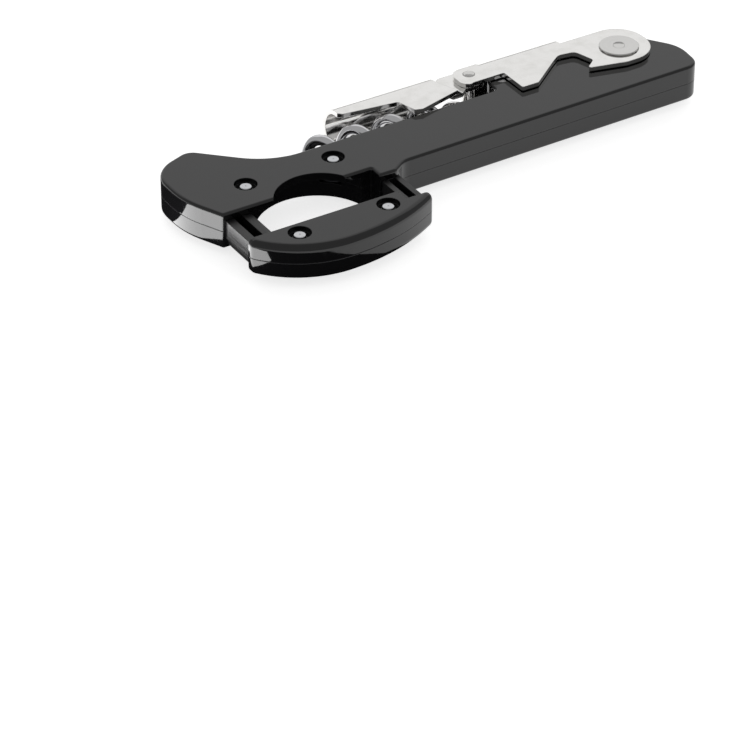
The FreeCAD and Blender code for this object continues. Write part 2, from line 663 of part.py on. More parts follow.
def lever_pins():
    """The hinge pin with domed ends, and the lever pivot's rivet in its bush."""
    length = CHEEK_OUT + HINGE_PIN_DOME
    pin = post(LEVER_HINGE_X, LEVER_HINGE_Y, HINGE_PIN_RADIUS, -length, length)
    save("lever_hinge_pin", round_both_rims(pin, length, HINGE_PIN_ROUND))
    x, y = LEVER_PIVOT_X, LEVER_PIVOT_Y
    head_low = CHEEK_OUT + HEAD_SHIM
    head_top = head_low + RIVET_HEAD_HEIGHT
    rivet = [post(x, y, RIVET_RADIUS, -head_top, head_top)]
    rivet.append(post(x, y, RIVET_HEAD_RADIUS, head_low, head_top))
    rivet.append(post(x, y, RIVET_HEAD_RADIUS, -head_top, -head_low))
    rivet = round_both_rims(joined(rivet), head_top, RIVET_HEAD_ROUND)
    dimples = [post(x, y, RIVET_DIMPLE_RADIUS, head_top - RIVET_DIMPLE_DEPTH, head_top + PAST)]
    dimples.append(post(x, y, RIVET_DIMPLE_RADIUS, -head_top - PAST, RIVET_DIMPLE_DEPTH - head_top))
    save("lever_pivot_rivet", rivet.cut(dimples))
    bush = post(x, y, BUSH_RADIUS, -CHEEK_IN + HEAD_SHIM, CHEEK_IN - HEAD_SHIM)
    save("lever_pivot_bush", bush.cut(post(x, y, RIVET_RADIUS + PRESS_GAP, -CHEEK_OUT, CHEEK_OUT)))


# ---- Worm -----------------------------------------------------------------
def coil_outward(turn):
    angle = 2 * math.pi * (turn + WORM_START)
    return Vec(0, math.cos(angle), math.sin(angle))


def coil_point(turn):
    """The worm's centre line, so many turns from its tip: a helix that then runs in to the axis."""
    share = min(max((turn - WORM_TURNS) / WORM_RUN_OUT, 0.0), 1.0)
    ease = share * share * (3 - 2 * share)
    radius = (WORM_DIAMETER / 2 - WORM_WIRE) * (1 - ease)
    outward = coil_outward(turn)
    return Vec(turn * WORM_PITCH, radius * outward.y, radius * outward.z)


def worm_wire():
    """The wire swept from its tip to the pivot, along the coil and the straight shank."""
    steps = round((WORM_TURNS + WORM_RUN_OUT) * WORM_STEPS_PER_TURN)
    line = [coil_point(i / WORM_STEPS_PER_TURN) for i in range(steps + 1)]
    shank_steps = 4
    line += [line[-1] + Vec(WORM_SHANK * i / shank_steps, 0, 0) for i in range(1, shank_steps + 1)]
    curve = Part.BSplineCurve()
    curve.interpolate(Points=line)
    start_tangent = curve.tangent(curve.FirstParameter)[0]
    section = Part.Wire(Part.makeCircle(WORM_WIRE, line[0], start_tangent))
    return Part.Wire(curve.toShape()).makePipeShell([section], True, False)


def worm_point_cut():
    """What grinding takes off the wire's inner side, so that its point lies on the outside."""
    along = (coil_point(0.01) - coil_point(0)).normalize()
    outward = coil_outward(0)
    across = along.cross(outward)
    outer_edge = coil_point(0) + outward * (WORM_WIRE - WORM_TIP_RADIUS) - across * WORM_WIRE * 2
    slant = along * WORM_POINT_LENGTH - outward * WORM_WIRE * 2
    corners = [outer_edge - slant * 0.5, outer_edge + slant * 1.5]
    corners += [corner - outward * WORM_WIRE * 5 - along * WORM_POINT_LENGTH for corner in reversed(corners)]
    return Part.Face(Part.makePolygon(corners + corners[:1])).extrude(across * WORM_WIRE * 4)


def worm():
    """Point, open coil, run-in to the axis, straight shank and flattened eye."""
    eye_x = WORM_PIVOT_X - WORM_TIP_X
    eye = post(eye_x, 0, WORM_EYE_RADIUS, -WORM_EYE_HALF, WORM_EYE_HALF)
    solid = worm_wire().cut(worm_point_cut()).fuse(eye)
    solid = solid.cut(post(eye_x, 0, WORM_PIN_RADIUS + RUN_GAP, -WORM_WIRE - PAST, WORM_WIRE + PAST))
    solid.translate(Vec(WORM_TIP_X, WORM_AXIS_Y, 0))
    save("worm", solid)
    save("worm_pivot_pin", post(WORM_PIVOT_X, WORM_AXIS_Y, WORM_PIN_RADIUS, -HALF + 0.1, HALF - 0.1))


handle_shells()
handle_screws()
sliding_jaw()
springs()
wheels_and_axles()
first_lever()
step_lever()
lever_pins()
worm()
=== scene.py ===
"""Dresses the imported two-step waiter's corkscrew for a studio view.

The moulded shells, slide arms and sheet levers keep their CAD meshes and get their real finishes.
The worm, springs, pins, rivets and cutting wheels are new surfaces worked out with numpy.
"""

import math

import bpy
import numpy as np
from bpy.props import FloatProperty, FloatVectorProperty, IntProperty, PointerProperty
from mathutils import Matrix, Vector


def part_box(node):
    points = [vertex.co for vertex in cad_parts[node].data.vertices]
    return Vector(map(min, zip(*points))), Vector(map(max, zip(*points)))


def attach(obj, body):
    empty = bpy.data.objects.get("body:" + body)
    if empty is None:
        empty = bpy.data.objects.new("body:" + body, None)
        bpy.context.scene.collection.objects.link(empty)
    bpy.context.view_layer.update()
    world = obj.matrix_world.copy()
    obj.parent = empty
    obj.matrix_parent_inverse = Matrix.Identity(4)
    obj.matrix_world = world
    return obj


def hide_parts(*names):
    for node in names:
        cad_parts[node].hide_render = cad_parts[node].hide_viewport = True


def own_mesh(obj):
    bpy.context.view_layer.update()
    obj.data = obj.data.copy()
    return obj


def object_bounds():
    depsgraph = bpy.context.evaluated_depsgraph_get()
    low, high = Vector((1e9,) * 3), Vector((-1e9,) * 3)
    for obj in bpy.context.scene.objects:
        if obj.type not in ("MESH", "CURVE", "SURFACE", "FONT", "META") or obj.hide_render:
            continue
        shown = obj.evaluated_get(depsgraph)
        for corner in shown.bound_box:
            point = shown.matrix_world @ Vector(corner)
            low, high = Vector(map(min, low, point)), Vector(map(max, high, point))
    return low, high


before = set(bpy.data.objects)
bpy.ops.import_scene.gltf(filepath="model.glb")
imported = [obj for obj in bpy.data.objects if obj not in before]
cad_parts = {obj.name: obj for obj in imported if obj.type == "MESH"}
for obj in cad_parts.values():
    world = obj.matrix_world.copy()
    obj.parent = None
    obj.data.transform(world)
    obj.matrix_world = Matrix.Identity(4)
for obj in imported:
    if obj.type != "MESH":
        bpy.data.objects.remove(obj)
CAD_LOW, CAD_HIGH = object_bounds()

bl_info = {
    "name": "Two-step waiter's corkscrew",
    "version": (1, 0, 0),
    "blender": (4, 5, 0),
    "location": "3D View > Sidebar > Corkscrew",
    "description": "Moulded handle, sliding foil cutter, plated levers and chromed worm on the packed frame",
    "category": "Object",
}

MM = 0.001
TAU = 2 * math.pi
POLE_RADIUS = 0.02 * MM  # of the first ring round a turned piece's axis


# ---- Colours and nodes -----------------------------------------------------
def linear(hex_colour):
    """A hex sRGB colour as linear RGBA: each channel c is c/12.92 or ((c + 0.055)/1.055)^2.4."""
    channels = [int(hex_colour[i : i + 2], 16) / 255 for i in (1, 3, 5)]
    return [c / 12.92 if c <= 0.04045 else ((c + 0.055) / 1.055) ** 2.4 for c in channels] + [1.0]


def add_node(tree, kind, settings=None, inputs=None):
    """One node of a tree, with its settings by name and its inputs by socket name or number."""
    made = tree.nodes.new(kind)
    for name, value in (settings or {}).items():
        setattr(made, name, value)
    for name, value in (inputs or {}).items():
        if isinstance(value, bpy.types.NodeSocket):
            tree.links.new(value, made.inputs[name])
        else:
            made.inputs[name].default_value = value
    return made


def new_material(name):
    """An empty material of that name and its node tree."""
    material = bpy.data.materials.new(name)
    material.use_nodes = True
    material.node_tree.nodes.clear()
    return material, material.node_tree


def finish_material(tree, inputs):
    """Closes a material with its surface shader."""
    shader = add_node(tree, "ShaderNodeBsdfPrincipled", inputs=inputs)
    add_node(tree, "ShaderNodeOutputMaterial", inputs={"Surface": shader.outputs["BSDF"]})


def object_place(tree):
    """Where a point lies on the object, in metres."""
    return add_node(tree, "ShaderNodeTexCoord").outputs["Object"]


def stretched(tree, place, lengths, turn=0.0):
    """A place measured in the given length along each axis, then turned about Z."""
    scale = [1 / length for length in lengths]
    inputs = {"Vector": place, "Rotation": (0, 0, turn), "Scale": scale}
    return add_node(tree, "ShaderNodeMapping", inputs=inputs).outputs["Vector"]


def noise(tree, place, size, detail):
    """Noise whose features are about that size across, from 0 to 1."""
    inputs = {"Vector": place, "Scale": 1 / size, "Detail": detail}
    return add_node(tree, "ShaderNodeTexNoise", inputs=inputs).outputs["Fac"]


def remapped(tree, value, old, new):
    """A value carried from one range to another and kept within the new one."""
    ranges = {"From Min": old[0], "From Max": old[1], "To Min": new[0], "To Max": new[1]}
    return add_node(tree, "ShaderNodeMapRange", inputs={"Value": value, **ranges}).outputs["Result"]


def added(tree, value, amount, base):
    """The base plus that amount of a value."""
    inputs = {0: value, 1: amount, 2: base}
    return add_node(tree, "ShaderNodeMath", {"operation": "MULTIPLY_ADD"}, inputs).outputs["Value"]


def blended(tree, share, first, second):
    """The first colour where the share is 0 and the second where it is 1."""
    inputs = {"Factor": share, "A": first, "B": second}
    return add_node(tree, "ShaderNodeMix", {"data_type": "RGBA"}, inputs).outputs["Result"]


def bumped(tree, height, strength, distance, normal=None):
    """A normal tilted by a height, on top of another normal if there is one."""
    inputs = {"Height": height, "Strength": strength, "Distance": distance}
    if normal is not None:
        inputs["Normal"] = normal
    return add_node(tree, "ShaderNodeBump", inputs=inputs).outputs["Normal"]


def edge_wear(tree, radius):
    """A normal rounded over the edges, and a share that is 0 on flats and nears 1 on corners.

    The share is one minus how far the rounded normal agrees with the true one.
    """
    rounded = add_node(tree, "ShaderNodeBevel", {"samples": 6}, {"Radius": radius}).outputs["Normal"]
    true = add_node(tree, "ShaderNodeNewGeometry").outputs["Normal"]
    agree = add_node(tree, "ShaderNodeVectorMath", {"operation": "DOT_PRODUCT"}, {0: rounded, 1: true})
    return rounded, remapped(tree, agree.outputs["Value"], (0.995, 0.85), (0.0, 1.0))


# ---- Materials -------------------------------------------------------------
def moulded_abs(name, colour, rub_colour, roughness):
    """Injection-moulded ABS from a polished tool: a deep black gloss with a faint orange peel.

    What the eye gets: sharp reflections that wander a little every few millimetres, hairline rubs
    that show only in the highlight, and corners a shade greyer where hands have rubbed them.
    """
    material, tree = new_material(name)
    place = object_place(tree)
    rounded, wear = edge_wear(tree, 0.25 * MM)
    # Flow waves of the moulding about 5 mm long, far shallower than they are wide.
    peel = noise(tree, place, 5 * MM, 1.0)
    # Hairline rubs lie mostly along the handle, 0.25 mm apart and some 8 mm long.
    along = stretched(tree, place, (8 * MM, 0.25 * MM, 2 * MM), math.radians(12))
    rubs = remapped(tree, noise(tree, along, 1.0, 3.0), (0.52, 0.8), (0.0, 1.0))
    # Skin oil and handling dull it in soft patches about 14 mm across.
    haze = noise(tree, place, 14 * MM, 4.0)
    rough = remapped(tree, haze, (0.3, 0.7), (roughness * 0.8, roughness * 1.3))
    rough = added(tree, rubs, 0.10, rough)
    finish_material(
        tree,
        {
            "Base Color": blended(tree, wear, colour, rub_colour),
            "Roughness": added(tree, wear, 0.12, rough),
            "IOR": 1.54,
            "Normal": bumped(tree, peel, 0.35, 0.03 * MM, rounded),
        },
    )
    return material


def moulded_nylon(name, colour, scuff_colour, roughness):
    """Glass-filled nylon: satin black with a fine grain of fibre ends and pale scuffs where it slides."""
    material, tree = new_material(name)
    place = object_place(tree)
    rounded, wear = edge_wear(tree, 0.15 * MM)
    # Fibre ends 0.15 mm apart give a tooth that breaks up the highlight.
    grain = noise(tree, place, 0.15 * MM, 2.0)
    # Sliding polishes it in streaks 9 mm long.
    slide = noise(tree, stretched(tree, place, (0.3 * MM, 9 * MM, 0.3 * MM)), 1.0, 2.0)
    finish_material(
        tree,
        {
            "Base Color": blended(tree, wear, colour, scuff_colour),
            "Roughness": remapped(tree, slide, (0.35, 0.75), (roughness, roughness * 0.6)),
            "IOR": 1.53,
            "Normal": bumped(tree, grain, 0.25, 0.02 * MM, rounded),
        },
    )
    return material


def plated_sheet(name, colour, clouded_colour, roughness):
    """Stamped steel sheet, barrel polished and nickel plated.

    What the eye gets: near-mirror flats with faint polishing lines along the lever, a slight roll
    from the press, soft bright corners, and a few clouded spots.
    """
    material, tree = new_material(name)
    place = object_place(tree)
    rounded, _ = edge_wear(tree, 0.22 * MM)
    # Polishing lines about 0.12 mm apart, drawn out for 12 mm along the lever.
    polish = noise(tree, stretched(tree, place, (12 * MM, 0.12 * MM, 0.12 * MM)), 1.0, 2.0)
    # The press leaves the sheet waved by microns over about 9 mm.
    roll = noise(tree, place, 9 * MM, 1.0)
    clouds = remapped(tree, noise(tree, place, 3.5 * MM, 4.0), (0.45, 0.8), (0.0, 1.0))
    rough = remapped(tree, polish, (0.3, 0.7), (roughness * 0.7, roughness * 1.35))
    lined = bumped(tree, polish, 0.10, 0.01 * MM, rounded)
    finish_material(
        tree,
        {
            "Base Color": blended(tree, clouds, colour, clouded_colour),
            "Metallic": 1.0,
            "Roughness": added(tree, clouds, 0.04, rough),
            "Normal": bumped(tree, roll, 0.5, 0.06 * MM, lined),
        },
    )
    return material


def drawn_or_turned_steel(name, colour, roughness, line_spacing, along_wire):
    """Steel with tool lines that follow the piece: rings on a turned pin, draw lines along a wire.

    The piece's UV map gives the place: u goes once round it and v along it in metres.
    """
    material, tree = new_material(name)
    place = add_node(tree, "ShaderNodeUVMap", {"uv_map": "Tool path"}).outputs["UV"]
    # Rings need a pattern that hardly changes round the piece, and draw lines one that hardly
    # changes along it. A wire is some 9 mm round, so a line's share of a turn is its spacing over that.
    lengths = (line_spacing / (9 * MM), 6 * MM, 1) if along_wire else (0.5, line_spacing, 1)
    tool = noise(tree, stretched(tree, place, lengths), 1.0, 2.0)
    dulled = [channel * 0.82 for channel in colour[:3]] + [1.0]
    finish_material(
        tree,
        {
            "Base Color": blended(tree, tool, colour, dulled),
            "Metallic": 1.0,
            "Roughness": remapped(tree, tool, (0.3, 0.7), (roughness * 0.7, roughness * 1.5)),
            "Normal": bumped(tree, tool, 0.15, 0.01 * MM),
        },
    )
    return material


def zinc_plate(name, colour, blue_colour, roughness):
    """Bright zinc on a screw: soft blue-grey patches a millimetre wide over a satin metal."""
    material, tree = new_material(name)
    rounded, _ = edge_wear(tree, 0.08 * MM)
    patches = noise(tree, object_place(tree), 1 * MM, 3.0)
    finish_material(
        tree,
        {
            "Base Color": blended(tree, patches, colour, blue_colour),
            "Metallic": 1.0,
            "Roughness": remapped(tree, patches, (0.0, 1.0), (roughness * 0.8, roughness * 1.3)),
            "Normal": rounded,
        },
    )
    return material


def opal_acrylic(name, glow):
    """Satin opal acrylic lit from below: an even white that the gloss black sides mirror."""
    material, tree = new_material(name)
    finish_material(
        tree,
        {
            "Base Color": linear("#E8E8E8"),
            "Roughness": 0.6,
            "Specular IOR Level": 0.2,
            "Emission Color": linear("#FFFFFF"),
            "Emission Strength": glow,
        },
    )
    return material


def flag_cloth(name):
    """Black flag cloth, with a weave a millimetre across."""
    material, tree = new_material(name)
    weave = noise(tree, object_place(tree), 1 * MM, 2.0)
    tint = blended(tree, weave, linear("#141414"), linear("#1E1E1E"))
    finish_material(tree, {"Base Color": tint, "Roughness": 0.9})
    return material


def wear_finish(names, material):
    """Puts one material on all of the named CAD nodes."""
    for name in names:
        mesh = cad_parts[name].data
        mesh.materials.clear()
        mesh.materials.append(material)


# ---- Surfaces --------------------------------------------------------------
def grid_object(name, points, ring=False):
    """A closed mesh on a grid of points, rows by columns by 3.

    Columns always run round and close. Rows close too on a ring; otherwise the middle of each end
    row is a pole, joined to it by a fan. u of the UV map is the column's share of a turn, and v the
    distance along the first column.
    """
    rows, columns = points.shape[:2]
    count = rows if ring else rows - 1
    row, column = np.meshgrid(np.arange(count), np.arange(columns), indexing="ij")
    corner_row = np.stack([row, row, row + 1, row + 1], -1)
    corner_column = np.stack([column, column + 1, column + 1, column], -1)
    quads = (corner_row % rows) * columns + corner_column % columns
    closed = np.concatenate([points[:, 0], points[:1, 0]])
    steps = np.linalg.norm(np.diff(closed, axis=0), axis=1)
    distance = np.concatenate([[0.0], np.cumsum(steps)])
    places = [np.stack([corner_column / columns, distance[corner_row]], -1).reshape(-1, 2)]
    vertices = points.reshape(-1, 3)
    faces = quads.reshape(-1, 4).tolist()
    if not ring:
        around = np.arange(columns)
        after = (around + 1) % columns
        last = (rows - 1) * columns
        poles = rows * columns + np.zeros((columns, 1), int)
        start_fan = np.concatenate([poles, after[:, None], around[:, None]], 1)
        end_fan = np.concatenate([poles + 1, last + around[:, None], last + after[:, None]], 1)
        faces += start_fan.tolist() + end_fan.tolist()
        vertices = np.concatenate([vertices, points[:1].mean(1), points[-1:].mean(1)])
        share = (around[:, None] + [[0.5, 1.0, 0.0]]) / columns
        places.append(np.stack([share, np.zeros_like(share)], -1).reshape(-1, 2))
        share = (around[:, None] + [[0.5, 0.0, 1.0]]) / columns
        places.append(np.stack([share, np.full_like(share, distance[rows - 1])], -1).reshape(-1, 2))
    mesh = bpy.data.meshes.new(name)
    mesh.from_pydata(vertices.tolist(), [], faces)
    tool_path = mesh.uv_layers.new(name="Tool path")
    tool_path.data.foreach_set("uv", np.concatenate(places).astype(np.float32).ravel())
    a, b, c, d = (vertices[quads.reshape(-1, 4)[:, i]] for i in range(4))
    volume = (a * np.cross(b, c)).sum() + (a * np.cross(c, d)).sum()
    if volume < 0:
        mesh.flip_normals()
    mesh.shade_smooth()
    made = bpy.data.objects.new(name, mesh)
    bpy.context.scene.collection.objects.link(made)
    return made


def tube_points(centre, outward, radius, sides):
    """A round section carried along a line: C + r (cos a N + sin a B).

    N is the outward direction made square to the line's direction T, and B is T cross N.
    """
    ahead = np.gradient(centre, axis=0)
    ahead /= np.linalg.norm(ahead, axis=1, keepdims=True)
    normal = outward - (outward * ahead).sum(1, keepdims=True) * ahead
    normal /= np.linalg.norm(normal, axis=1, keepdims=True)
    across = np.cross(ahead, normal)
    angle = np.arange(sides) / sides * TAU
    cos_a, sin_a = np.cos(angle)[None, :, None], np.sin(angle)[None, :, None]
    round_part = cos_a * normal[:, None] + sin_a * across[:, None]
    return centre[:, None] + radius[:, None, None] * round_part


def turned_points(profile, x, y, sides):
    """A profile of radius and height turned about an upright line: (x + r cos a, y + r sin a, h)."""
    angle = np.arange(sides) / sides * TAU
    radius, height = profile[:, :1], profile[:, 1:]
    return np.stack([x + radius * np.cos(angle), y + radius * np.sin(angle), height + 0 * angle], -1)


def eased_corners(corners, steps=6):
    """A line of corners (radius, height, easing), each turned into an arc-like curve.

    Between the points one easing before the corner and one after it, the curve is the quadratic
    Bezier (1-t)^2 A + 2t(1-t) P + t^2 B. A guard point just outside each curve keeps the flats flat.
    """
    points = np.array([c[:2] for c in corners], float)
    share = np.linspace(0, 1, steps)[:, None]
    line = [points[:1]]
    eases = [corner[2] for corner in corners[1:-1]]
    for before, corner, after, ease in zip(points, points[1:], points[2:], eases):
        towards = (before - corner) / np.linalg.norm(before - corner)
        onward = (after - corner) / np.linalg.norm(after - corner)
        start, end = corner + towards * ease, corner + onward * ease
        curve = (1 - share) ** 2 * start + 2 * share * (1 - share) * corner + share**2 * end
        guard = ease * 0.2
        line += [start[None] + towards * guard, curve, end[None] + onward * guard]
    line.append(points[-1:])
    return np.concatenate(line)


# ---- What a user would change ----------------------------------------------
worm_low, worm_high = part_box("worm")
rivet_low, rivet_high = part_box("lever_pivot_rivet")
hinge_low, hinge_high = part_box("lever_hinge_pin")


class ShellFinish(bpy.types.PropertyGroup):
    handle: FloatVectorProperty(
        name="Handle", description="Colour of its plastic", default=linear("#0B0B0C")[:3], subtype="COLOR"
    )
    jaw: FloatVectorProperty(
        name="Jaw", description="Colour of the sliding jaw", default=linear("#0A0A0B")[:3], subtype="COLOR"
    )
    rubbed: FloatVectorProperty(
        name="Rubbed", description="Colour of worn corners", default=linear("#1C1C1E")[:3], subtype="COLOR"
    )
    arms: FloatVectorProperty(
        name="Arms", description="Colour of the slide arms", default=linear("#101011")[:3], subtype="COLOR"
    )
    handle_roughness: FloatProperty(name="Handle polish", description="Roughness of its gloss", default=0.06)
    jaw_roughness: FloatProperty(name="Jaw polish", description="Roughness of its gloss", default=0.05)


class SheetFinish(bpy.types.PropertyGroup):
    nickel: FloatVectorProperty(
        name="Nickel", description="Colour of the plating", default=linear("#F2F1EF")[:3], subtype="COLOR"
    )
    clouded: FloatVectorProperty(
        name="Clouded", description="Colour of clouded spots", default=linear("#E6E5E2")[:3], subtype="COLOR"
    )
    roughness: FloatProperty(name="Polish", description="Roughness of the plating", default=0.10)


class WormSizes(bpy.types.PropertyGroup):
    diameter: FloatProperty(
        name="Diameter", description="Outside of the coil", default=worm_high.y - worm_low.y, unit="LENGTH"
    )
    wire: FloatProperty(
        name="Wire radius", description="Half the wire's thickness", default=1.45 * MM, unit="LENGTH"
    )
    pitch: FloatProperty(
        name="Pitch", description="From one turn to the next", default=10.2 * MM, unit="LENGTH"
    )
    turns: FloatProperty(name="Turns", description="Full turns of the open coil", default=4.0)
    run_in: FloatProperty(name="Run-in", description="Turns that bring the coil to the axis", default=0.75)
    start: FloatProperty(name="Start", description="Place of the point, in turns from +Y", default=-0.35)
    shank: FloatProperty(
        name="Shank", description="Straight wire up to the pivot", default=11.1 * MM, unit="LENGTH"
    )
    point: FloatProperty(name="Point", description="Turns over which the wire tapers", default=0.42)
    tip: FloatProperty(name="Tip", description="Share of the wire left at the point", default=0.06)
    eye_radius: FloatProperty(
        name="Eye", description="Outside of the eye", default=3.0 * MM, unit="LENGTH"
    )
    eye_bore: FloatProperty(
        name="Eye bore", description="Radius of the eye's bore", default=1.55 * MM, unit="LENGTH"
    )
    eye_ease: FloatProperty(
        name="Eye corner", description="Rounding of the eye", default=0.35 * MM, unit="LENGTH"
    )
    eye_extra: FloatProperty(
        name="Eye height", description="Half height beyond the wire's", default=0.1 * MM, unit="LENGTH"
    )
    chrome: FloatVectorProperty(
        name="Chrome", description="Colour of the chrome", default=linear("#E4E4E6")[:3], subtype="COLOR"
    )


class SpringSizes(bpy.types.PropertyGroup):
    wire: FloatProperty(
        name="Wire radius", description="Half the wire's thickness", default=0.2 * MM, unit="LENGTH"
    )
    coils: IntProperty(name="Coils", description="Open coils between the closed ends", default=9)
    closed: FloatProperty(name="Closed coils", description="Turns that lie flat at each end", default=1.5)
    steel: FloatVectorProperty(
        name="Steel", description="Colour of the wire", default=linear("#B4B5B8")[:3], subtype="COLOR"
    )


class PinSizes(bpy.types.PropertyGroup):
    axle_ease: FloatProperty(
        name="Axle corner", description="Rounding of the axle's end", default=0.35 * MM, unit="LENGTH"
    )
    centre_mark: FloatProperty(
        name="Centre mark", description="Radius of an axle's mark", default=0.22 * MM, unit="LENGTH"
    )
    rivet_head: FloatProperty(
        name="Rivet head", description="Height of the rivet's head", default=0.5 * MM, unit="LENGTH"
    )
    rivet_dimple: FloatProperty(
        name="Rivet dimple", description="Radius of the rivet's dimple", default=1.7 * MM, unit="LENGTH"
    )
    dimple_depth: FloatProperty(
        name="Dimple depth", description="Depth of the rivet's dimple", default=0.35 * MM, unit="LENGTH"
    )
    rivet_gap: FloatProperty(
        name="Rivet gap", description="Shadow gap under the head's edge", default=0.25 * MM, unit="LENGTH"
    )
    rivet_shank: FloatProperty(
        name="Rivet shank", description="Radius between the heads", default=1.8 * MM, unit="LENGTH"
    )
    pin_dome: FloatProperty(
        name="Pin dome", description="Height of the hinge pin's dome", default=0.5 * MM, unit="LENGTH"
    )
    axle_steel: FloatVectorProperty(
        name="Axle steel", description="Colour of the axles", default=linear("#D4D5D8")[:3], subtype="COLOR"
    )
    rivet_steel: FloatVectorProperty(
        name="Rivet steel", description="Colour of its heads", default=linear("#E2E1DF")[:3], subtype="COLOR"
    )


class WheelSizes(bpy.types.PropertyGroup):
    bore: FloatProperty(
        name="Bore", description="Radius of the running bore", default=1.6 * MM, unit="LENGTH"
    )
    bore_ease: FloatProperty(
        name="Bore corner", description="Bevel at the bore's ends", default=0.12 * MM, unit="LENGTH"
    )
    flat: FloatProperty(name="Flat", description="Share of the radius before the grind", default=0.72)
    hollow: FloatProperty(
        name="Hollow", description="Depth of the hollow grind", default=0.025 * MM, unit="LENGTH"
    )
    edge: FloatProperty(
        name="Edge", description="Width of the cutting edge", default=0.16 * MM, unit="LENGTH"
    )
    steel: FloatVectorProperty(
        name="Steel", description="Colour of the wheels", default=linear("#C4C6CA")[:3], subtype="COLOR"
    )


class StageLayout(bpy.types.PropertyGroup):
    azimuth: FloatProperty(
        name="Azimuth", description="Camera's turn round it", default=math.radians(-31.6), subtype="ANGLE"
    )
    elevation: FloatProperty(
        name="Elevation", description="Camera's height angle", default=math.radians(34.11), subtype="ANGLE"
    )
    distance: FloatProperty(
        name="Distance", description="From the aim to the camera", default=0.9, unit="LENGTH"
    )
    lens: FloatProperty(name="Lens", description="Focal length", default=177.12, unit="CAMERA")
    aim_right: FloatProperty(
        name="Aim right", description="Aim, right of the neck's axis", default=14.22 * MM, unit="LENGTH"
    )
    aim_up: FloatProperty(
        name="Aim up", description="Aim, above the handle's top", default=-44.22 * MM, unit="LENGTH"
    )
    surround: FloatProperty(name="Surround", description="Brightness of the room", default=0.42)
    table: FloatProperty(name="Light table", description="Glow of the backlit floor", default=0.75)
    back_light: FloatProperty(name="Back softbox", description="Brightness of the large panel", default=0.43)
    back_distance: FloatProperty(
        name="Softbox distance", description="From the neck to the panel", default=1.5, unit="LENGTH"
    )
    pad_light: FloatProperty(name="Side pad", description="Brightness of the low left panel", default=6.0)
    flag_radius: FloatProperty(
        name="Flag", description="Radius of the black flag under the head", default=44 * MM, unit="LENGTH"
    )


# ---- Pieces ----------------------------------------------------------------
SCUFF = linear("#3A3A3C")  # of black nylon
WORM_ROWS, SHANK_ROWS, WORM_SIDES, EYE_SIDES = 260, 12, 40, 64
SPRING_ROWS_PER_TURN, SPRING_SIDES = 28, 12
AXLE_SIDES, RIVET_SIDES, WHEEL_SIDES, GRIND_ROWS = 48, 72, 96, 9
SHANK_INTO_EYE = 0.45 * MM  # short of the bore
SHANK_SHARE = 0.98  # of the wire, so that the shank never shows through the eye
MARK_DEPTH, MARK_EASE = 0.7, 0.3  # shares of the centre mark's radius
DIMPLE_FLOOR = 0.75  # share of the dimple's radius that is flat
DOME_FLAT, DOME_DROP = 0.62, 0.05 * MM  # where the pin's dome turns down, and how far by then


class CORKSCREW_OT_handle(bpy.types.Operator):
    """Gloss black ABS on the handle's shells, with its screws, bush and worm pin"""

    bl_idname = "corkscrew.handle"
    bl_label = "Handle"

    def execute(self, context):
        finish = context.scene.shell_finish
        black, rubbed = [*finish.handle, 1.0], [*finish.rubbed, 1.0]
        shells = moulded_abs("Moulded black ABS", black, rubbed, finish.handle_roughness)
        wear_finish(["handle_upper_shell", "handle_lower_shell"], shells)
        zinc = zinc_plate("Zinc plated steel", linear("#B9BCC0"), linear("#9AA2AE"), 0.28)
        wear_finish(["handle_screws"], zinc)
        nylon = moulded_nylon("Bush nylon", linear("#141415"), SCUFF, 0.5)
        wear_finish(["lever_pivot_bush"], nylon)
        pin = plated_sheet("Ground pin steel", linear("#C9C9CB"), linear("#B5B5B8"), 0.2)
        wear_finish(["worm_pivot_pin"], pin)
        return {"FINISHED"}


class CORKSCREW_OT_jaw(bpy.types.Operator):
    """Gloss black ABS on the sliding jaw's shells and satin nylon on its slide arms"""

    bl_idname = "corkscrew.jaw"
    bl_label = "Sliding jaw"

    def execute(self, context):
        finish = context.scene.shell_finish
        black, rubbed = [*finish.jaw, 1.0], [*finish.rubbed, 1.0]
        shells = moulded_abs("Moulded black ABS, jaw", black, rubbed, finish.jaw_roughness)
        wear_finish(["jaw_upper_shell", "jaw_lower_shell"], shells)
        arms = moulded_nylon("Glass-filled nylon", [*finish.arms, 1.0], SCUFF, 0.42)
        wear_finish(["jaw_arm_left", "jaw_arm_right"], arms)
        return {"FINISHED"}


class CORKSCREW_OT_levers(bpy.types.Operator):
    """Polished nickel plate on both sheet levers"""

    bl_idname = "corkscrew.levers"
    bl_label = "Levers"

    def execute(self, context):
        finish = context.scene.sheet_finish
        nickel, clouded = [*finish.nickel, 1.0], [*finish.clouded, 1.0]
        sheet = plated_sheet("Polished nickel plate", nickel, clouded, finish.roughness)
        wear_finish(["lever_first", "lever_step"], sheet)
        return {"FINISHED"}


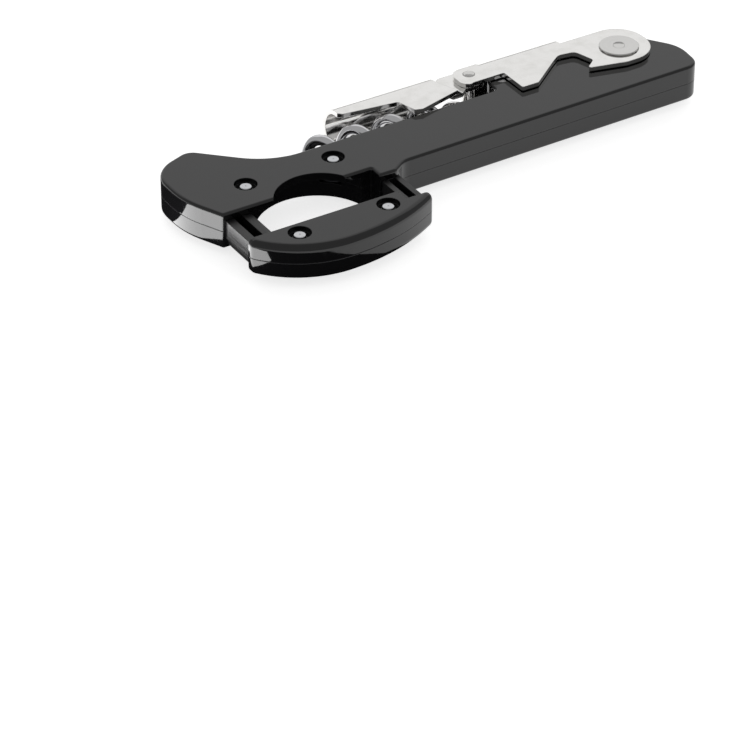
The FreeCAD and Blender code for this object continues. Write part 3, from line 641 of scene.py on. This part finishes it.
class CORKSCREW_OT_worm(bpy.types.Operator):
    """The chromed worm: ground point, open coil, run-in, shank and flattened eye"""

    bl_idname = "corkscrew.worm"
    bl_label = "Worm"

    def execute(self, context):
        sizes = context.scene.worm_sizes
        axis_y = (worm_low.y + worm_high.y) / 2
        pivot_x = worm_high.x - sizes.eye_radius
        tip_x = pivot_x - sizes.shank - (sizes.turns + sizes.run_in) * sizes.pitch
        # Centre line: a helix whose radius eases to nothing over the run-in by 3s^2 - 2s^3, and
        # whose wire stays against the outer cylinder while it tapers as sqrt(t (2 - t)).
        turn = np.linspace(0, sizes.turns + sizes.run_in, WORM_ROWS)
        share = np.clip((turn - sizes.turns) / sizes.run_in, 0, 1)
        eased = 1 - share**2 * (3 - 2 * share)
        taper = np.clip(turn / sizes.point, 0, 1)
        wire = sizes.wire * (sizes.tip + (1 - sizes.tip) * np.sqrt(taper * (2 - taper)))
        away = (sizes.diameter / 2 - wire) * eased
        angle = TAU * (turn + sizes.start)
        outward = np.stack([0 * turn, np.cos(angle), np.sin(angle)], -1)
        centre = outward * away[:, None]
        centre[:, 0] += tip_x + turn * sizes.pitch
        centre[:, 1] += axis_y
        # The shank runs straight on into the eye's wall.
        inside_eye = pivot_x - sizes.eye_bore - SHANK_INTO_EYE
        shank_x = np.linspace(centre[-1, 0], inside_eye, SHANK_ROWS)[1:]
        shank = np.stack([shank_x, 0 * shank_x + axis_y, 0 * shank_x], -1)
        centre = np.concatenate([centre, shank])
        outward = np.concatenate([outward, np.repeat(outward[-1:], len(shank), 0)])
        wire = np.concatenate([wire, np.full(len(shank), sizes.wire * SHANK_SHARE)])
        coil = grid_object("worm_coil", tube_points(centre, outward, wire, WORM_SIDES))
        half = sizes.wire + sizes.eye_extra
        eye_profile = eased_ring(sizes.eye_bore, sizes.eye_radius, half, sizes.eye_ease)
        eye_points = turned_points(eye_profile, pivot_x, axis_y, EYE_SIDES)
        eye = grid_object("worm_eye", eye_points, ring=True)
        colour = [*sizes.chrome, 1.0]
        chrome = drawn_or_turned_steel("Chromed wire", colour, 0.07, 0.12 * MM, along_wire=True)
        for piece in (coil, eye):
            piece.data.materials.append(chrome)
            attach(piece, "worm")
        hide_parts("worm")
        return {"FINISHED"}


def eased_ring(inner, outer, half, ease):
    """The closed section of a ring as radius and height, its four corners eased."""
    middle = (inner + outer) / 2
    corners = [
        (middle, -half, 0),
        (outer, -half, ease),
        (outer, half, ease),
        (inner, half, ease),
        (inner, -half, ease),
        (middle, -half, 0),
    ]
    return eased_corners(corners)[:-1]


class CORKSCREW_OT_springs(bpy.types.Operator):
    """The two return springs of the sliding jaw, coiled at the length of their CAD boxes and carried with
    the handle
    """

    bl_idname = "corkscrew.springs"
    bl_label = "Springs"

    def execute(self, context):
        sizes = context.scene.spring_sizes
        colour = [*sizes.steel, 1.0]
        steel = drawn_or_turned_steel("Drawn spring steel", colour, 0.22, 0.1 * MM, along_wire=True)
        for side in ("left", "right"):
            low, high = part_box("spring_" + side)
            middle_x, middle_z = (low.x + high.x) / 2, (low.z + high.z) / 2
            radius = (high.x - low.x) / 2 - sizes.wire
            start = low.y + sizes.wire
            length = high.y - low.y - 2 * sizes.wire
            # Height along Y: the closed ends rise one wire a turn, and the open coils share the rest.
            turns = sizes.coils + 2 * sizes.closed
            turn = np.linspace(0, turns, int(turns * SPRING_ROWS_PER_TURN))
            end_rise = sizes.closed * 2 * sizes.wire
            height = np.interp(
                turn,
                [0, sizes.closed, turns - sizes.closed, turns],
                [0, end_rise, length - end_rise, length],
            )
            angle = TAU * turn
            outward = np.stack([np.cos(angle), 0 * angle, np.sin(angle)], -1)
            centre = outward * radius + np.array([middle_x, start, middle_z])
            centre[:, 1] += height
            wire = np.full(len(turn), sizes.wire)
            points = tube_points(centre, outward, wire, SPRING_SIDES)
            coil = grid_object("spring_coil_" + side, points)
            coil.data.materials.append(steel)
            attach(coil, "handle")
            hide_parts("spring_" + side)
            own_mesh(coil)
        return {"FINISHED"}


def turned_pin(name, half_profile, low, high, sides):
    """A pin turned about the middle of a box from its upper half's corners, the lower half mirrored."""
    mirrored = [(radius, -z, ease) for radius, z, ease in reversed(half_profile)]
    profile = eased_corners(half_profile + mirrored)
    middle = ((low.x + high.x) / 2, (low.y + high.y) / 2)
    return grid_object(name + "_turned", turned_points(profile, *middle, sides))


class CORKSCREW_OT_axles(bpy.types.Operator):
    """The four wheel axles, each with an eased end and a turner's centre mark"""

    bl_idname = "corkscrew.axles"
    bl_label = "Axles"

    def execute(self, context):
        sizes = context.scene.pin_sizes
        colour = [*sizes.axle_steel, 1.0]
        steel = drawn_or_turned_steel("Ground axle steel", colour, 0.16, 0.15 * MM, along_wire=False)
        mark = sizes.centre_mark
        bodies = {"fixed": "handle", "jaw": "sliding_jaw"}
        for prefix, body in bodies.items():
            for side in ("left", "right"):
                name = prefix + "_axle_" + side
                low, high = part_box(name)
                radius = (high.x - low.x) / 2
                end = [
                    (POLE_RADIUS, high.z - mark * MARK_DEPTH, 0),
                    (mark, high.z, mark * MARK_EASE),
                    (radius, high.z, sizes.axle_ease),
                ]
                axle = turned_pin(name, end, low, high, AXLE_SIDES)
                axle.data.materials.append(steel)
                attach(axle, body)
                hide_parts(name)
        return {"FINISHED"}


class CORKSCREW_OT_rivets(bpy.types.Operator):
    """The lever pivot's rivet with its dimpled heads, and the domed hinge pin"""

    bl_idname = "corkscrew.rivets"
    bl_label = "Rivets"

    def execute(self, context):
        sizes = context.scene.pin_sizes
        colour = [*sizes.rivet_steel, 1.0]
        steel = drawn_or_turned_steel("Polished rivet steel", colour, 0.12, 0.2 * MM, along_wire=False)
        head_top = rivet_high.z
        head_low = head_top - sizes.rivet_head
        floor_z = head_top - sizes.dimple_depth
        radius = (rivet_high.x - rivet_low.x) / 2
        dimple = sizes.rivet_dimple
        half_rivet = [
            (POLE_RADIUS, floor_z, 0),
            (dimple * DIMPLE_FLOOR, floor_z, 0.3 * MM),
            (dimple, head_top, 0.2 * MM),
            (radius, head_top, 0.35 * MM),
            (radius, head_low + sizes.rivet_gap, 0.05 * MM),
            (radius - 2 * sizes.rivet_gap, head_low, 0.05 * MM),
            (sizes.rivet_shank, head_low, 0.08 * MM),
        ]
        pin_radius = (hinge_high.x - hinge_low.x) / 2
        half_pin = [
            (POLE_RADIUS, hinge_high.z, 0),
            (pin_radius * DOME_FLAT, hinge_high.z - DOME_DROP, 0.45 * MM),
            (pin_radius, hinge_high.z - sizes.pin_dome, 0.2 * MM),
        ]
        for name, body, half, low, high in (
            ("lever_pivot_rivet", "handle", half_rivet, rivet_low, rivet_high),
            ("lever_hinge_pin", "first_lever", half_pin, hinge_low, hinge_high),
        ):
            pin = turned_pin(name, half, low, high, RIVET_SIDES)
            pin.data.materials.append(steel)
            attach(pin, body)
            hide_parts(name)
        return {"FINISHED"}


class CORKSCREW_OT_wheels(bpy.types.Operator):
    """The four cutting wheels, hollow ground from both sides to a narrow edge"""

    bl_idname = "corkscrew.wheels"
    bl_label = "Cutting wheels"

    def execute(self, context):
        sizes = context.scene.wheel_sizes
        colour = [*sizes.steel, 1.0]
        steel = drawn_or_turned_steel("Hardened wheel steel", colour, 0.2, 0.08 * MM, along_wire=False)
        ease = sizes.bore_ease
        for place in ("fixed", "jaw"):
            for side in ("left", "right"):
                name = place + "_wheel_" + side
                low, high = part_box(name)
                radius = (high.x - low.x) / 2
                half = (high.z - low.z) / 2
                flat = radius * sizes.flat
                # Height falls from the flat to the edge and sags by 4 s (1 - s) of the hollow.
                share = np.linspace(0, 1, GRIND_ROWS)
                sag = 4 * share * (1 - share) * sizes.hollow
                grind_radius = flat + share * (radius - flat)
                grind_height = half + share * (sizes.edge / 2 - half) - sag
                upper = np.stack([grind_radius, grind_height], -1)
                lower = np.stack([grind_radius[::-1], -grind_height[::-1]], -1)
                bore = np.array(
                    [
                        (sizes.bore + ease, -half),
                        (sizes.bore, -half + ease),
                        (sizes.bore, half - ease),
                        (sizes.bore + ease, half),
                    ]
                )
                profile = np.concatenate([upper, lower, bore])
                middle = ((low.x + high.x) / 2, (low.y + high.y) / 2)
                points = turned_points(profile, *middle, WHEEL_SIDES)
                wheel = grid_object(name + "_ground", points, ring=True)
                wheel.data.set_sharp_from_angle(angle=math.radians(25))
                wheel.data.materials.append(steel)
                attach(wheel, "wheel_" + place + "_" + side)
                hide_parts(name)
        return {"FINISHED"}


# ---- Stage -----------------------------------------------------------------
TABLE_REACH = 3.0
FLAG_SIDES = 64
BACK_PANEL = (2.6, 1.5)
SIDE_PAD = (26 * MM, 43 * MM)
# Middles on the table: of the pad from the head's left end, and of the flag from the neck's axis.
PAD_PLACE = (-14.5 * MM, 1.5 * MM, 0.6 * MM)
FLAG_PLACE = (-20 * MM, 6 * MM, 0.3 * MM)


def flat_sheet(name, corners, material):
    """One upward-facing polygon, given its corners in order round it."""
    mesh = bpy.data.meshes.new(name)
    mesh.from_pydata(corners.tolist(), [], [tuple(range(len(corners)))])
    mesh.materials.append(material)
    sheet = bpy.data.objects.new(name, mesh)
    bpy.context.scene.collection.objects.link(sheet)
    return sheet


class CORKSCREW_OT_stage(bpy.types.Operator):
    """Pale floor, white surround, soft studio lights and the camera"""

    bl_idname = "corkscrew.stage"
    bl_label = "Stage"

    def execute(self, context):
        layout = context.scene.stage_layout
        scene = context.scene
        scene.view_settings.view_transform = "Standard"
        corners = np.array([(-1, -1, 0), (1, -1, 0), (1, 1, 0), (-1, 1, 0)]) * TABLE_REACH
        corners = corners + (0, 0, CAD_LOW.z)
        table = opal_acrylic("Opal acrylic light table", layout.table)
        floor = flat_sheet("studio_floor", corners, table)

        # A black flag on the table, which only reflections show, keeps the head's sides dark as the
        # bottle's shoulders under it do.
        angle = np.linspace(0, TAU, FLAG_SIDES, endpoint=False)
        ring = np.stack([np.cos(angle), np.sin(angle), 0 * angle], -1) * layout.flag_radius
        ring += np.array(FLAG_PLACE) + (0, 0, CAD_LOW.z)
        flag = flat_sheet("studio_flag", ring, flag_cloth("Black flag cloth"))
        flag.visible_camera = flag.visible_diffuse = flag.visible_shadow = False

        world = bpy.data.worlds.new("Dim studio")
        world.use_nodes = True
        background = world.node_tree.nodes["Background"]
        background.inputs["Color"].default_value = linear("#FFFFFF")
        background.inputs["Strength"].default_value = layout.surround
        scene.world = world

        back, right, up = camera_axes(layout.azimuth, layout.elevation)
        neck = Vector((0, 0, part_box("handle_upper_shell")[1].z))
        aim = neck + right * layout.aim_right + up * layout.aim_up
        # The flat tops mirror the back panel to the camera: it stands where the view, turned over
        # them, points.
        mirrored = Vector((-back.x, -back.y, back.z))
        panel_place = neck + mirrored * layout.back_distance
        pad_place = Vector((CAD_LOW.x, 0, CAD_LOW.z)) + Vector(PAD_PLACE)
        lights = (
            ("Back softbox", layout.back_light, BACK_PANEL, panel_place, neck - panel_place),
            ("Left pad", layout.pad_light, SIDE_PAD, pad_place, Vector((0, 0, 1))),
        )
        for name, radiance, size, place, ahead in lights:
            data = bpy.data.lights.new(name, "AREA")
            data.shape = "RECTANGLE"
            data.size, data.size_y = size
            # A panel's power is its radiance times pi times its area.
            data.energy = radiance * math.pi * size[0] * size[1]
            light = bpy.data.objects.new(name, data)
            turn = ahead.to_track_quat("-Z", "Y").to_matrix().to_4x4()
            light.matrix_world = Matrix.Translation(place) @ turn
            scene.collection.objects.link(light)

        lens = bpy.data.cameras.new("Product camera")
        lens.sensor_width = 36.0
        lens.lens = layout.lens
        lens.clip_start, lens.clip_end = 0.01, 50.0
        camera = bpy.data.objects.new("Product camera", lens)
        turn = Matrix((right, up, back)).transposed().to_4x4()
        camera.matrix_world = Matrix.Translation(aim + back * layout.distance) @ turn
        scene.collection.objects.link(camera)
        scene.camera = camera
        return {"FINISHED"}


def camera_axes(azimuth, elevation):
    """The camera's backward, right and upward directions for an azimuth from -Y and a height angle."""
    sin_a, cos_a = math.sin(azimuth), math.cos(azimuth)
    sin_e, cos_e = math.sin(elevation), math.cos(elevation)
    back = Vector((sin_a * cos_e, -cos_a * cos_e, sin_e))
    right = Vector((cos_a, sin_a, 0))
    up = Vector((-sin_a * sin_e, cos_a * sin_e, cos_e))
    return back, right, up


class CORKSCREW_PT_panel(bpy.types.Panel):
    """Sizes and makers of the corkscrew's pieces"""

    bl_idname = "CORKSCREW_PT_panel"
    bl_label = "Corkscrew"
    bl_space_type = "VIEW_3D"
    bl_region_type = "UI"
    bl_category = "Corkscrew"

    def draw(self, context):
        layout = self.layout
        for operator in OPERATORS:
            layout.operator(operator.bl_idname)
        for attribute, group in GROUPS.items():
            box = layout.box()
            sizes = getattr(context.scene, attribute)
            for name in group.__annotations__:
                box.prop(sizes, name)


GROUPS = {
    "shell_finish": ShellFinish,
    "sheet_finish": SheetFinish,
    "worm_sizes": WormSizes,
    "spring_sizes": SpringSizes,
    "pin_sizes": PinSizes,
    "wheel_sizes": WheelSizes,
    "stage_layout": StageLayout,
}
OPERATORS = (
    CORKSCREW_OT_handle,
    CORKSCREW_OT_jaw,
    CORKSCREW_OT_levers,
    CORKSCREW_OT_worm,
    CORKSCREW_OT_springs,
    CORKSCREW_OT_axles,
    CORKSCREW_OT_rivets,
    CORKSCREW_OT_wheels,
    CORKSCREW_OT_stage,
)


def register():
    for cls in (*GROUPS.values(), *OPERATORS, CORKSCREW_PT_panel):
        bpy.utils.register_class(cls)
    for attribute, group in GROUPS.items():
        setattr(bpy.types.Scene, attribute, PointerProperty(type=group))


def unregister():
    for attribute in GROUPS:
        delattr(bpy.types.Scene, attribute)
    for cls in reversed((*GROUPS.values(), *OPERATORS, CORKSCREW_PT_panel)):
        bpy.utils.unregister_class(cls)


def main():
    register()
    bpy.ops.corkscrew.handle()
    bpy.ops.corkscrew.jaw()
    bpy.ops.corkscrew.levers()
    bpy.ops.corkscrew.worm()
    bpy.ops.corkscrew.springs()
    bpy.ops.corkscrew.axles()
    bpy.ops.corkscrew.rivets()
    bpy.ops.corkscrew.wheels()
    bpy.ops.corkscrew.stage()


if __name__ == "__main__":
    main()
